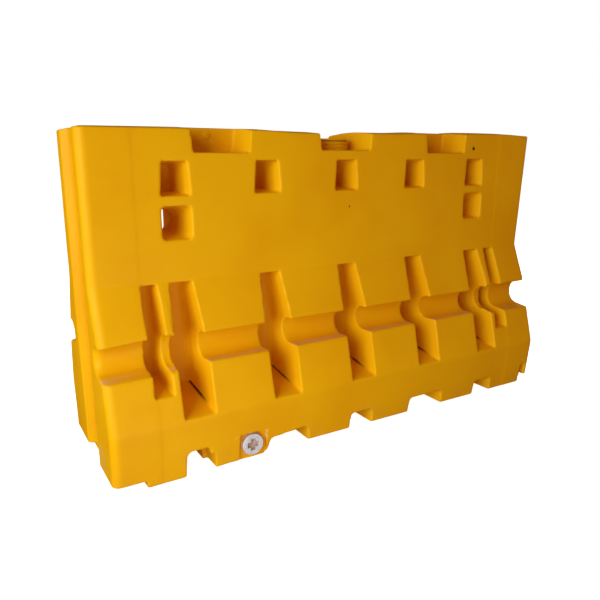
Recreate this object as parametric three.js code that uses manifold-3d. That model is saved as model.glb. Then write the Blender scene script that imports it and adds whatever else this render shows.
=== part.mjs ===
// A water filled traffic barrier: a hollow moulded shell with its filler plug, drain fitting and vent plug.
// Millimetres. +X runs along the barrier, -Y is the side with the drain and +Z is up.
// The origin is on the ground, halfway along the barrier and halfway through it.

import * as THREE from "three";
import { mergeVertices } from "three/addons/utils/BufferGeometryUtils.js";
import Module from "manifold-3d";

const wasm = await Module();
wasm.setup();

// Driving dimensions of the shell
const LENGTH = 1829;
const TOP_EDGE_HEIGHT = 1066;
const CROWN = 12; // rise of the top from its edges to its middle
const WALL = 7;
const PITCH = 317; // spacing of the slots, pockets and tunnels along the barrier
const HALF_PITCHES = [-2, -1, 0, 1, 2];
const OVERSHOOT = 60; // how far a cutter reaches past the face that it opens

// Half widths of the end view, from the ground up
const FOOT = { y: 260, z: 0, radius: 8 };
const FLARE = { y: 281, z: 190, radius: 60 };
const LIP_Y = { lower: 241, upper: 213 };
const LIP_RADIUS = 8;
const GROOVE = { backY: 144, floor: 351, ceiling: 443, radius: 45 };
const WAIST = { y: 149, z: 604, radius: 40 };
const TOP_EDGE = { y: 145, radius: 6 };

// The rail groove is a little wider in the two end blocks, which also stand proud.
const MAIN_LIPS = { lower: 353, upper: 437 };
const END_LIPS = { lower: 338, upper: 449 };
const END_BLOCK_START = 690;
const PROUD_START = 764;
const PROUD = 3;
const END_RADIUS = 27;

// Slots, pockets and holes in each long side
const SLOT_BACK_Y = 62;
const SLOT_CORNER = 28;
const SMALL_SLOT_X = 738;
const SMALL_SLOT_BACK_Y = 72;
const POCKET_BACK_Y = 26;
const HOLE_X = 2 * PITCH;

// Recesses in the top
const RECESS_X = 1.5 * PITCH;
const RECESS_FLOOR = 995;
const RECESS_BACK_Y = 18;
const FILLER_FLOOR = 1004;
const FILLER_RECESS_HALF = 103;

// Tunnels under the base, and the channel down each end
const TUNNEL_HEIGHT = 60;
const TALL_TUNNEL_HEIGHT = 86;
const NARROW_TUNNEL_HALF = 51;
const FORK_TUNNEL_HALF = 87;
const CHANNEL_HALF = 74;
const CHANNEL_DEPTH = 62;
const RAISED_END = 26;

// Filler neck, gasket and plug, about the vertical axis over the origin
const NECK = { bore: 75, valley: 82, crest: 86, top: 1036, ridges: 3, wall: 10 };
const FILLER_GASKET = { inner: 75.5, outer: 81, thickness: 2 };
const PLUG_FLANGE = { radius: 84, thickness: 7 };
const SHANK = { radius: 74, length: 26, wall: 6 };
const DISH = { radius: 54, depth: 18 };
const GRIP = { length: 104, width: 16, height: 17 };

// Drain pad, bushing, gasket and plug, about an axis along Y
const PAD = { left: -501, right: -399, top: 90, y: 252 };
const DRAIN = { x: (PAD.left + PAD.right) / 2, z: 44 };
const BUSHING = { flange: 41, flangeThickness: 3.7, barrel: 30, length: 36, bore: 24 };
const DRAIN_GASKET = { inner: 24.4, outer: 35, thickness: 2 };
const DRAIN_HEAD = { radius: 37, thickness: 9 };
const DRAIN_SHANK = { radius: 23.5, length: 26 };
const DRIVE = { arm: 44, width: 20, depth: 12 };

// Vent plug in the back wall of a top recess
const VENT = { x: -RECESS_X, z: 1050, head: 13, headThickness: 3, stem: 6, stemLength: 14 };

const GAP = 0.3; // between pieces that touch on the real barrier
const ROUND_STEPS = 2; // chords in a rounded corner
const SMALL_RADIUS = 13; // corners under this radius are one chord
const SLIGHT_TURN = 0.6; // radians; so are corners that turn less than this
const CIRCLE_STEPS = 30;

const pointOf = ([x, y]) => new THREE.Vector2(x, y);
const inPlan = (point, height) => new THREE.Vector3(point.x, point.y, height);
const inFrontView = (point, depth) => new THREE.Vector3(point.x, depth, point.y);
const inEndView = (point, along) => new THREE.Vector3(along, point.x, point.y);

// The unit directions of the edges that arrive at and leave corner i.
function edgesAt(corners, i) {
  const here = pointOf(corners[i]);
  const arriving = here.clone().sub(pointOf(corners.at(i - 1))).normalize();
  const leaving = pointOf(corners[(i + 1) % corners.length]).sub(here).normalize();
  return { here, arriving, leaving };
}

// Moves each edge of a counterclockwise outline of [x, y, radius] corners inwards by a distance.
function insetCorners(corners, distance) {
  return corners.map(([x, y, radius = 0], i) => {
    const { arriving, leaving } = edgesAt(corners, i);
    const share = distance / (1 + arriving.dot(leaving));
    const convex = arriving.cross(leaving) > 0;
    return [
      x - (arriving.y + leaving.y) * share,
      y + (arriving.x + leaving.x) * share,
      radius && Math.max(radius + (convex ? -distance : distance), 1),
    ];
  });
}

// Replaces each corner that has a radius by an arc, or by one chord where the arc is slight.
function roundedOutline(corners) {
  return corners.flatMap(([, , radius], i) => {
    const { here, arriving, leaving } = edgesAt(corners, i);
    if (!radius) return [here];
    const back = arriving.clone().negate();
    const halfAngle = Math.acos(THREE.MathUtils.clamp(back.dot(leaving), -1, 1)) / 2;
    const reach = radius / Math.tan(halfAngle);
    const middle = back.clone().add(leaving).normalize();
    const centre = here.clone().addScaledVector(middle, radius / Math.sin(halfAngle));
    const start = here.clone().addScaledVector(back, reach).sub(centre);
    const end = here.clone().addScaledVector(leaving, reach).sub(centre);
    const turn = Math.atan2(start.cross(end), start.dot(end));
    const slight = radius < SMALL_RADIUS || Math.abs(turn) < SLIGHT_TURN;
    const count = slight ? 1 : ROUND_STEPS;
    const pivot = new THREE.Vector2();
    return Array.from({ length: count + 1 }, (_, k) =>
      start.clone().rotateAround(pivot, (turn * k) / count).add(centre),
    );
  });
}

function solidOf(geometry) {
  const bare = geometry.clone();
  bare.deleteAttribute("normal");
  bare.deleteAttribute("uv");
  const merged = mergeVertices(bare, 1e-4);
  const vertProperties = merged.attributes.position.array;
  const triVerts = new Uint32Array(merged.index.array);
  const solid = new wasm.Manifold(new wasm.Mesh({ numProp: 3, vertProperties, triVerts }));
  return solid.volume() > 0 ? solid : solidOf(turnedOver(merged));
}

function turnedOver(geometry) {
  const flipped = geometry.clone();
  flipped.setIndex(Array.from(geometry.index.array).reverse());
  return flipped;
}

function geometryOf(solid) {
  const mesh = solid.getMesh();
  const position = new THREE.BufferAttribute(new Float32Array(mesh.vertProperties), 3);
  return new THREE.BufferGeometry()
    .setAttribute("position", position)
    .setIndex(new THREE.BufferAttribute(new Uint32Array(mesh.triVerts), 1));
}

const union = (solids) => solids.reduce((all, one) => all.add(one));

// The body that skins a row of outlines with the same number of points, each at its own station.
function loft(levels, place) {
  const count = levels[0].outline.length;
  const points = levels.flatMap(({ at, outline }) => outline.map((point) => place(point, at)));
  const faces = [];
  for (let level = 0; level + 1 < levels.length; level += 1) {
    for (let i = 0; i < count; i += 1) {
      const here = level * count + i;
      const next = level * count + ((i + 1) % count);
      faces.push([here, next, next + count], [here, next + count, here + count]);
    }
  }
  for (const end of [0, levels.length - 1]) {
    const outline = levels[end].outline;
    const forwards = THREE.ShapeUtils.isClockWise(outline) === (end === 0);
    for (const face of THREE.ShapeUtils.triangulateShape(outline, [])) {
      const turn = THREE.ShapeUtils.isClockWise(face.map((i) => outline[i])) ? -1 : 1;
      const ordered = turn > 0 === forwards ? face : [...face].reverse();
      faces.push(ordered.map((i) => i + end * count));
    }
  }
  return solidOf(new THREE.BufferGeometry().setFromPoints(points).setIndex(faces.flat()));
}

// A cutter between two or more outlines, grown on its sides and at its closed end, which comes last.
function cutter(levels, place, grow) {
  const closed = levels.at(-1).at;
  const towards = Math.sign(closed - levels.at(-2).at);
  const grown = levels.map(({ at, corners }) => ({
    at: at === closed ? at + towards * grow : at,
    outline: roundedOutline(insetCorners(corners, -grow)),
  }));
  return loft(grown, place);
}

const halfTurn = (solid) => solidOf(geometryOf(solid).rotateZ(Math.PI));

// A four-cornered outline: half widths at its low and high edge, and one corner radius.
function trapezoid(centre, low, high, halfLow, halfHigh, radius) {
  return [
    [centre - halfLow, low, radius],
    [centre + halfLow, low, radius],
    [centre + halfHigh, high, radius],
    [centre - halfHigh, high, radius],
  ];
}

// The end view of the shell, counterclockwise from its lower right corner.
function endView({ lips, crown, proud }) {
  const right = [
    [FOOT.y + proud, FOOT.z, FOOT.radius],
    [FLARE.y + proud, FLARE.z, FLARE.radius],
    [LIP_Y.lower + proud, lips.lower, LIP_RADIUS],
    [GROOVE.backY, GROOVE.floor, GROOVE.radius],
    [GROOVE.backY, GROOVE.ceiling, GROOVE.radius],
    [LIP_Y.upper + proud, lips.upper, LIP_RADIUS],
    [WAIST.y + proud, WAIST.z, WAIST.radius],
    [TOP_EDGE.y + proud, TOP_EDGE_HEIGHT, TOP_EDGE.radius],
  ];
  const left = right.map(([y, z, radius]) => [-y, z, radius]).reverse();
  return [...right, [0, TOP_EDGE_HEIGHT + crown, 0], ...left];
}

// Narrows an end view evenly on both sides, as the rounding of the vertical end edges does.
function narrowed(outline, amount) {
  const full = TOP_EDGE.y / 2;
  return outline.map(({ x, y }) => {
    const shift = amount * THREE.MathUtils.clamp(x / full, -1, 1);
    return new THREE.Vector2(x - shift, y);
  });
}

// The outer or, with an inset, the inner face of the shell before anything is cut into it.
function block(inset) {
  const viewAt = (lips, crown, proud, narrowing) => {
    const corners = insetCorners(endView({ lips, crown, proud }), inset);
    return narrowed(roundedOutline(corners), narrowing);
  };
  const half = [];
  for (let step = 0; step <= ROUND_STEPS; step += 1) {
    const angle = (step / ROUND_STEPS) * (Math.PI / 2);
    const radius = END_RADIUS - inset;
    const at = LENGTH / 2 - inset - radius * (1 - Math.cos(angle));
    const crown = CROWN * (step / ROUND_STEPS);
    half.push({ at, outline: viewAt(END_LIPS, crown, PROUD, radius * (1 - Math.sin(angle))) });
  }
  half.push({ at: PROUD_START + PROUD, outline: viewAt(END_LIPS, CROWN, PROUD, 0) });
  half.push({ at: PROUD_START, outline: viewAt(END_LIPS, CROWN, 0, 0) });
  half.push({ at: END_BLOCK_START, outline: viewAt(END_LIPS, CROWN, 0, 0) });
  half.push({ at: END_BLOCK_START - 12, outline: viewAt(MAIN_LIPS, CROWN, 0, 0) });
  const mirrored = half.map(({ at, outline }) => ({ at: -at, outline })).reverse();
  return loft([...half, ...mirrored], inEndView);
}

// A tall slot: an outline in plan that widens downwards, under a side view with a sloping floor.
function slot(centre, mouth, backY, floor, grow) {
  const levels = mouth.map(([z, faceY, half]) => {
    const backHalf = 0.8 * half;
    const outerHalf = half + ((half - backHalf) * OVERSHOOT) / (faceY - backY);
    const radius = Math.min(SLOT_CORNER, backHalf - 1);
    const corners = [
      [centre - outerHalf, -faceY - OVERSHOOT, 0],
      [centre + outerHalf, -faceY - OVERSHOOT, 0],
      [centre + backHalf, -backY, radius],
      [centre - backHalf, -backY, radius],
    ];
    return { at: z, outline: roundedOutline(insetCorners(corners, -grow)) };
  });
  const reach = FLARE.y + OVERSHOOT;
  const slope = (floor.back - floor.front) / (FLARE.y - backY);
  const ceiling = mouth[0][0] - 2 * OVERSHOOT;
  const side = [
    [-reach, floor.front - OVERSHOOT * slope, 0],
    [-backY, floor.back, 20],
    [-backY, ceiling, 12],
    [-reach, ceiling, 0],
  ];
  const sideOutline = roundedOutline(insetCorners(side, -grow));
  const ends = [centre - 2 * PITCH, centre + 2 * PITCH];
  const sideCut = loft(ends.map((at) => ({ at, outline: sideOutline })), inEndView);
  return loft(levels, inPlan).intersect(sideCut);
}

function mainSlot(centre, grow) {
  const mouth = [
    [WAIST.z - 4 + 2 * OVERSHOOT, WAIST.y, 37],
    [WAIST.z - 4, WAIST.y, 37],
    [435, LIP_Y.upper, 49],
    [345, LIP_Y.lower, 52],
    [FLARE.z - OVERSHOOT, FLARE.y, 50],
  ];
  return slot(centre, mouth, SLOT_BACK_Y, { front: 194, back: 238 }, grow);
}

function smallSlot(centre, grow) {
  const mouth = [
    [WAIST.z - 4 + 2 * OVERSHOOT, WAIST.y, 25],
    [WAIST.z - 4, WAIST.y, 25],
    [435, LIP_Y.upper, 29],
    [FLARE.z, FLARE.y, 31],
  ];
  return slot(centre, mouth, SMALL_SLOT_BACK_Y, { front: 268, back: 292 }, grow);
}

function upperPocket(centre, grow) {
  const levels = [
    { at: -TOP_EDGE.y - OVERSHOOT, corners: trapezoid(centre, 862, 975, 55, 47, 8) },
    { at: -POCKET_BACK_Y, corners: trapezoid(centre, 876, 964, 43, 37, 8) },
  ];
  return cutter(levels, inFrontView, grow);
}

// Half of a hole that tapers from each long side to the middle of the barrier.
function throughHole(centre, grow) {
  const levels = [
    { at: -TOP_EDGE.y - OVERSHOOT, corners: trapezoid(centre, 724, 844, 53, 53, 12) },
    { at: 1, corners: trapezoid(centre, 742, 826, 37, 37, 12) },
  ];
  return cutter(levels, inFrontView, grow);
}

function topRecess(centre, grow) {
  const outlineAt = (half) => [
    [centre - half, -TOP_EDGE.y - OVERSHOOT, 0],
    [centre + half, -TOP_EDGE.y - OVERSHOOT, 0],
    [centre + half - 4, -RECESS_BACK_Y, 20],
    [centre - half + 4, -RECESS_BACK_Y, 20],
  ];
  const levels = [
    { at: TOP_EDGE_HEIGHT + OVERSHOOT, corners: outlineAt(110) },
    { at: RECESS_FLOOR, corners: outlineAt(97) },
  ];
  return cutter(levels, inPlan, grow);
}

// A passage that runs from one long side to the middle, with an outline in the front view.
function passage(corners, grow) {
  const levels = [
    { at: -FLARE.y - OVERSHOOT, corners },
    { at: 1, corners },
  ];
  return cutter(levels, inFrontView, grow);
}

const fillerRecess = (grow) =>
  passage(trapezoid(0, FILLER_FLOOR, 1100, FILLER_RECESS_HALF, 114, 5), grow);

function tunnel(centre, half, height, grow) {
  const corners = trapezoid(centre, -OVERSHOOT, height, half + 6, half - 5, 16);
  return passage(corners, grow);
}

// The tunnel next to the raised end is taller, and its wall steps inwards halfway in.
function steppedTunnel(centre, grow) {
  const left = centre - NARROW_TUNNEL_HALF;
  const right = centre + NARROW_TUNNEL_HALF;
  const stepRight = right - 16;
  const inner = [
    [left - 3, -OVERSHOOT, 0],
    [stepRight + 4, -OVERSHOOT, 0],
    [stepRight - 4, TALL_TUNNEL_HEIGHT, 16],
    [left + 6, TALL_TUNNEL_HEIGHT, 16],
  ];
  const outer = [
    [left - 3, -OVERSHOOT, 0],
    [right + 4, -OVERSHOOT, 0],
    [right - 4, TUNNEL_HEIGHT, 12],
    [left + 6, TUNNEL_HEIGHT, 12],
  ];
  const levels = [
    { at: -FLARE.y - OVERSHOOT, corners: outer },
    { at: -178, corners: outer },
  ];
  return passage(inner, grow).add(cutter(levels, inFrontView, grow));
}

// Under one end the foot stops short; the other end has a hooked flange with a slot behind it.
function raisedEnd(grow) {
  const edge = LENGTH / 2 + OVERSHOOT;
  const corners = [
    [-edge, -OVERSHOOT, 0],
    [-804, -OVERSHOOT, 0],
    [-812, RAISED_END, 8],
    [-edge, RAISED_END, 0],
  ];
  return passage(corners, grow);
}

function hookedEnd(grow) {
  const edge = LENGTH / 2 + OVERSHOOT;
  const under = [
    [886, -OVERSHOOT, 0],
    [edge, -OVERSHOOT, 0],
    [edge, RAISED_END + 3, 0],
    [886, RAISED_END + 3, 0],
  ];
  const levels = [
    { at: -FLARE.y - OVERSHOOT, corners: trapezoid(884, -OVERSHOOT, 90, 24, 12, 11) },
    { at: -150, corners: trapezoid(884, -OVERSHOOT, 76, 22, 12, 11) },
  ];
  return passage(under, grow).add(cutter(levels, inFrontView, grow));
}

function endChannel(grow) {
  const mouth = LENGTH / 2;
  const flare = 22;
  const corners = [
    [mouth - CHANNEL_DEPTH, -CHANNEL_HALF + 6, 14],
    [mouth - flare, -CHANNEL_HALF, 20],
    [mouth + OVERSHOOT, -CHANNEL_HALF - 2.4 * flare, 0],
    [mouth + OVERSHOOT, CHANNEL_HALF + 2.4 * flare, 0],
    [mouth - flare, CHANNEL_HALF, 20],
    [mouth - CHANNEL_DEPTH, CHANNEL_HALF - 6, 14],
  ];
  const outline = roundedOutline(insetCorners(corners, -grow));
  const levels = [-OVERSHOOT, TOP_EDGE_HEIGHT + OVERSHOOT].map((at) => ({ at, outline }));
  return loft(levels, inPlan);
}

function drainPad(grow) {
  const corners = [
    [PAD.left, -OVERSHOOT, 0],
    [PAD.right, -OVERSHOOT, 0],
    [PAD.right, PAD.top, 0],
    [PAD.left, PAD.top, 0],
  ];
  const levels = [
    { at: -FLARE.y - OVERSHOOT, corners },
    { at: -PAD.y, corners },
  ];
  return cutter(levels, inFrontView, grow);
}

// Everything that is cut into the block, each cutter larger by the growth on every face.
function cutters(grow) {
  const side = [
    ...HALF_PITCHES.map((k) => mainSlot(k * PITCH, grow)),
    ...HALF_PITCHES.map((k) => upperPocket(k * PITCH, grow)),
    ...[-SMALL_SLOT_X, SMALL_SLOT_X].map((x) => smallSlot(x, grow)),
    ...[-HOLE_X, HOLE_X].map((x) => throughHole(x, grow)),
    ...[-RECESS_X, RECESS_X].map((x) => topRecess(x, grow)),
    ...[-PITCH, PITCH].map((x) => tunnel(x, FORK_TUNNEL_HALF, TUNNEL_HEIGHT, grow)),
    ...[0, 2 * PITCH].map((x) => tunnel(x, NARROW_TUNNEL_HALF, TUNNEL_HEIGHT, grow)),
    steppedTunnel(-2 * PITCH, grow),
    fillerRecess(grow),
    raisedEnd(grow),
    hookedEnd(grow),
    endChannel(grow),
  ];
  const front = union(side);
  return front.add(halfTurn(front)).add(drainPad(grow));
}

// A body of revolution about +Z from a closed profile of [radius, height] points.
function turned(profile, steps = CIRCLE_STEPS) {
  const closed = [...profile, profile[0]].map(pointOf);
  return solidOf(new THREE.LatheGeometry(closed, steps).rotateX(Math.PI / 2));
}

const tube = (inner, outer, low, high) =>
  turned([[inner, low], [outer, low], [outer, high], [inner, high]]);

const rod = (radius, low, high) => turned([[0, low], [radius, low], [radius, high], [0, high]]);

// Turns a solid made about +Z to point out of the front face, at a place on the barrier.
const outOfFront = (solid, x, y, z) =>
  solidOf(geometryOf(solid).rotateX(Math.PI / 2).translate(x, y, z));

// The neck that stands in the filler recess, ringed outside by round ridges.
function fillerNeck() {
  const low = FILLER_FLOOR - NECK.wall;
  const ridgedHeight = NECK.top - FILLER_FLOOR;
  const pointsPerRidge = 4;
  const outer = [];
  for (let i = 0; i <= NECK.ridges * pointsPerRidge; i += 1) {
    const turn = i / pointsPerRidge;
    const bulge = (1 - Math.cos(2 * Math.PI * turn)) / 2;
    const radius = NECK.valley + (NECK.crest - NECK.valley) * bulge;
    outer.push([radius, FILLER_FLOOR + (ridgedHeight * turn) / NECK.ridges]);
  }
  return turned([[NECK.bore, low], [NECK.valley, low], ...outer, [NECK.bore, NECK.top]]);
}

function barrierShell() {
  const outer = block(0).subtract(cutters(0));
  const cavity = block(WALL).subtract(cutters(WALL));
  const fillerBore = rod(NECK.bore, FILLER_FLOOR - 2 * NECK.wall, NECK.top + NECK.wall);
  const drainBore = outOfFront(rod(BUSHING.barrel + GAP, -WALL - 1, 1), DRAIN.x, -PAD.y, DRAIN.z);
  const ventBore = outOfFront(rod(VENT.stem + GAP, -WALL - 1, 1), VENT.x, -RECESS_BACK_Y, VENT.z);
  return outer
    .subtract(cavity)
    .add(fillerNeck())
    .subtract(fillerBore)
    .subtract(drainBore)
    .subtract(ventBore);
}

const fillerGasketLow = NECK.top + GAP;
const flangeLow = fillerGasketLow + FILLER_GASKET.thickness + GAP;
const flangeHigh = flangeLow + PLUG_FLANGE.thickness;

const fillerGasket = () =>
  tube(
    FILLER_GASKET.inner,
    FILLER_GASKET.outer,
    fillerGasketLow,
    fillerGasketLow + FILLER_GASKET.thickness,
  );

// A cup with a flange, a dished top and a bar across the dish to turn it by.
function fillerPlug() {
  const shankLow = flangeLow - SHANK.length;
  const dishFloor = flangeHigh - DISH.depth;
  const innerShank = SHANK.radius - SHANK.wall;
  const cup = turned([
    [0, dishFloor - SHANK.wall],
    [innerShank, dishFloor - SHANK.wall],
    [innerShank, shankLow],
    [SHANK.radius, shankLow],
    [SHANK.radius, flangeLow],
    [PLUG_FLANGE.radius - 1, flangeLow],
    [PLUG_FLANGE.radius, flangeLow + 1],
    [PLUG_FLANGE.radius, flangeHigh - 2],
    [PLUG_FLANGE.radius - 2, flangeHigh],
    [DISH.radius + 4, flangeHigh],
    [DISH.radius, dishFloor],
    [0, dishFloor],
  ]);
  const bar = new THREE.BoxGeometry(GRIP.length, GRIP.width, GRIP.height);
  bar.translate(0, 0, dishFloor + GRIP.height / 2 - 1);
  return cup.add(solidOf(bar));
}

const gasketFace = BUSHING.flangeThickness + 2 * GAP;
const headFace = gasketFace + DRAIN_GASKET.thickness + GAP;

const drainBushing = () =>
  outOfFront(
    tube(BUSHING.bore, BUSHING.barrel, -BUSHING.length, GAP + 1).add(
      tube(BUSHING.bore, BUSHING.flange, GAP, GAP + BUSHING.flangeThickness),
    ),
    DRAIN.x,
    -PAD.y,
    DRAIN.z,
  );

const drainGasket = () =>
  outOfFront(
    tube(DRAIN_GASKET.inner, DRAIN_GASKET.outer, gasketFace, gasketFace + DRAIN_GASKET.thickness),
    DRAIN.x,
    -PAD.y,
    DRAIN.z,
  );

// A flat head with a cross-shaped wrench recess, on a hollow shank.
function drainPlug() {
  const face = headFace + DRAIN_HEAD.thickness;
  const tail = headFace - DRAIN_SHANK.length;
  const body = turned([
    [0, face - DRIVE.depth - 4],
    [DRAIN_SHANK.radius - 5, face - DRIVE.depth - 4],
    [DRAIN_SHANK.radius - 5, tail],
    [DRAIN_SHANK.radius, tail],
    [DRAIN_SHANK.radius, headFace],
    [DRAIN_HEAD.radius, headFace],
    [DRAIN_HEAD.radius, face - 3],
    [DRAIN_HEAD.radius - 3, face],
    [0, face],
  ]);
  const arms = [[DRIVE.arm, DRIVE.width], [DRIVE.width, DRIVE.arm]].map(([width, height]) => {
    const arm = new THREE.BoxGeometry(width * 0.9, height * 0.9, 2 * DRIVE.depth);
    return solidOf(arm.translate(0, 0, face));
  });
  return outOfFront(body.subtract(union(arms)), DRAIN.x, -PAD.y, DRAIN.z);
}

function ventPlug() {
  const head = turned([
    [0, GAP],
    [VENT.head, GAP],
    [VENT.head - 1, GAP + VENT.headThickness / 2],
    [VENT.head / 2, GAP + VENT.headThickness],
    [0, GAP + VENT.headThickness],
  ], 24);
  const stem = turned([[0, -VENT.stemLength], [VENT.stem, -VENT.stemLength], [VENT.stem, 1], [0, 1]], 24);
  return outOfFront(head.add(stem), VENT.x, -RECESS_BACK_Y, VENT.z);
}

const plastic = (colour, roughness) =>
  new THREE.MeshStandardMaterial({ color: colour, roughness, metalness: 0 });

function node(name, solid, material) {
  const mesh = new THREE.Mesh(geometryOf(solid), material);
  mesh.name = name;
  return mesh;
}

const barrier = new THREE.Group();
barrier.name = "water_filled_barrier";
barrier.add(
  node("barrier_shell", barrierShell(), plastic(0xf2b211, 0.45)),
  node("filler_gasket", fillerGasket(), plastic(0x202020, 0.8)),
  node("filler_plug", fillerPlug(), plastic(0xf2b211, 0.45)),
  node("drain_bushing", drainBushing(), plastic(0xd8a878, 0.5)),
  node("drain_gasket", drainGasket(), plastic(0x202020, 0.8)),
  node("drain_plug", drainPlug(), plastic(0xf0f0ee, 0.4)),
  node("vent_plug", ventPlug(), plastic(0xf2b211, 0.45)),
);

export default barrier;
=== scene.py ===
"""A water filled traffic barrier: soft-edged moulded shell, screw plugs, gaskets and a studio.

Lengths are in metres in the part's frame: +X along the barrier, -Y the side with the drain, +Z up.
"""

import math
import random

import bmesh
import bpy
import numpy as np
from mathutils import Matrix, Vector, noise
from mathutils.geometry import tessellate_polygon


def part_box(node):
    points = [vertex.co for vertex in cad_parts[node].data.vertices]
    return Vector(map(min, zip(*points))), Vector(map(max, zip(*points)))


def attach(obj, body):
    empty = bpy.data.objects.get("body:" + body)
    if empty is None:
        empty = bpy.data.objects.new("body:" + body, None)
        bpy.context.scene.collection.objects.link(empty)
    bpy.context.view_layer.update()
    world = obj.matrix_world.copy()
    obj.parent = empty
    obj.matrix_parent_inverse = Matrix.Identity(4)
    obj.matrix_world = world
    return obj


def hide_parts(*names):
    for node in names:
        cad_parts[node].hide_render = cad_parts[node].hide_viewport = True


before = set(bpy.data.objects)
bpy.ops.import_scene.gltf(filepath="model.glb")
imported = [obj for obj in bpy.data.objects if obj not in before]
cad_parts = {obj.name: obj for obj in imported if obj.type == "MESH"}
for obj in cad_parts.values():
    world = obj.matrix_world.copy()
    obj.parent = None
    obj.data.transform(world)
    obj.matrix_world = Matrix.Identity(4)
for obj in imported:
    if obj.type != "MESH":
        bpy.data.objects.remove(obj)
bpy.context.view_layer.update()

MM = 0.001


def mm(*values):
    return tuple(value * MM for value in values)


SHELL_LOW, SHELL_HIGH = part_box("barrier_shell")

# Driving sizes of the shell
LENGTH = SHELL_HIGH.x - SHELL_LOW.x
CROWN = 12 * MM
CROWN_RADIUS = 900 * MM
TOP_EDGE_Z = SHELL_HIGH.z - CROWN
PITCH = 317 * MM
HALF_PITCHES = (-2, -1, 0, 1, 2)
OVERSHOOT = 60 * MM

# Half widths of the end view, from the ground up
PROUD = 0.8 * MM
FLARE_Y = SHELL_HIGH.y - 2.2 * MM
FLARE_RADIUS = 60 * MM
FLARE_Z = 190 * MM
FOOT_Y = 260 * MM
LIP_RADIUS = 8 * MM
LOWER_LIP_Y = 241 * MM
UPPER_LIP_Y = 213 * MM
GROOVE_BACK_Y = 144 * MM
GROOVE_FLOOR_Z = 351 * MM
GROOVE_CEILING_Z = 443 * MM
GROOVE_RADIUS = 45 * MM
WAIST_Y = 149 * MM
WAIST_Z = 604 * MM
WAIST_RADIUS = 40 * MM
TOP_EDGE_Y = 145 * MM
TOP_EDGE_RADIUS = 6 * MM

MAIN_LIPS = mm(353, 437)
END_LIPS = mm(338, 449)
LEFT_LOWER_DROP = 3 * MM
LEFT_UPPER_DROP = 19 * MM
END_BLOCK_START = 690 * MM
END_BLOCK_STEP = 12 * MM
PROUD_START = 764 * MM
SOFT_END_RADIUS = 27 * MM
SHARP_END_RADIUS = 8 * MM
END_STATIONS = mm(0, 0.6, 2, 5, 8, 13, 20, 27)

SLOT_CEILING_Z = WAIST_Z - 4 * MM
SLOT_BACK_Y = 62 * MM
SLOT_CORNER = 28 * MM
MAIN_FLOOR = mm(194, 238)
SMALL_FLOOR = mm(268, 292)
CREASE_WIDTH = 3.2 * MM
CREASE_DEPTH = 7 * MM
CREASE_FADE = 0.22
CREASE_FRONT_HALF = 50 * MM
CREASE_BACK_HALF = 40 * MM
SMALL_SLOT_X = 738 * MM
SMALL_SLOT_BACK_Y = 72 * MM
POCKET_BACK_Y = 26 * MM

RECESS_X = 1.5 * PITCH
RECESS_FLOOR_Z = 995 * MM
RECESS_BACK_Y = 18 * MM
RECESS_CORNER = 2 * MM
FILLER_FLOOR_Z = 1004 * MM
FILLER_RECESS_HALF = 103 * MM

TUNNEL_HEIGHT = 60 * MM
TALL_TUNNEL_HEIGHT = 86 * MM
NARROW_TUNNEL_HALF = 51 * MM
FORK_TUNNEL_HALF = 87 * MM
DRAIN_FOOT_REACH = 14 * MM
DRAIN_CEILING_DROP = 12 * MM
CHANNEL_HALF = 74 * MM
CHANNEL_DEPTH = 62 * MM
RAISED_END = 26 * MM
RAISED_END_X = mm(-804, -812)
HOOK_X = 884 * MM
GAP = 0.3 * MM  # between pieces that touch

ARC_STEPS = 6
WALL = 7 * MM

# Voxel size and smoothing of the outer face of the shell, and the waves in it
OUTER_VOXEL = 4 * MM
OUTER_ROUNDS = 3
OUTER_TRIANGLES = 180000
RIPPLE_HEIGHT = 1.3 * MM
RIPPLE_SIZE = 240 * MM
EDGE_ROUNDING = 20 * MM
SHARP_ANGLE = 0.7

# The set that the shell has taken. A span's marks are where it starts, is full, fades and is gone.
SAG_RANGE = mm(504, 640)
FOOT_SAG = 14 * MM
SAG_TOP = 300 * MM
DRAIN_FOOT_SPAN = mm(330, 420, 500, 600)
DRAIN_FOOT_SAG = 7 * MM
DRAIN_SAG_TOP = 14 * MM
LEAN_RANGE = mm(700, 905)
TOP_LEAN = 26 * MM
TOP_BOW = 7 * MM
TOP_WAVE_RANGE = mm(1010, 1050)
TOP_WAVES = (
    (mm(-330, -190, -106, -95), -6 * MM),
    (mm(95, 106, 230, 360), -4 * MM),
    (mm(585, 600, 800, 900), 4 * MM),
)
BACK_RANGE = mm(60, 140)
BACK_BOW_SPAN = mm(120, 300, 760, 950)
BACK_BOW = 9 * MM
BACK_LIP_SPAN = mm(150, 330, 350, 430)
BACK_LIP_RISE = 15 * MM

# The filler neck, plug and gasket, about the vertical axis over the origin
PLUG_LOW, PLUG_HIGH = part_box("filler_plug")
FILLER_SEAL_LOW, FILLER_SEAL_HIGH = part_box("filler_gasket")
NECK_BORE = 75 * MM
NECK_VALLEY = 82 * MM
NECK_RIDGE = 4 * MM
NECK_RIDGES = 3
NECK_TOP = FILLER_SEAL_LOW.z - GAP
FILLER_PITCH = 12 * MM
FILLER_THREAD_RISE = 1.9 * MM
FILLER_SHANK = 72.6 * MM
CUP_RIM = 60 * MM
CUP_DEPTH = 18 * MM
GRIP_HALF = 53 * MM
GRIP_WIDTH = 16 * MM

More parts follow.
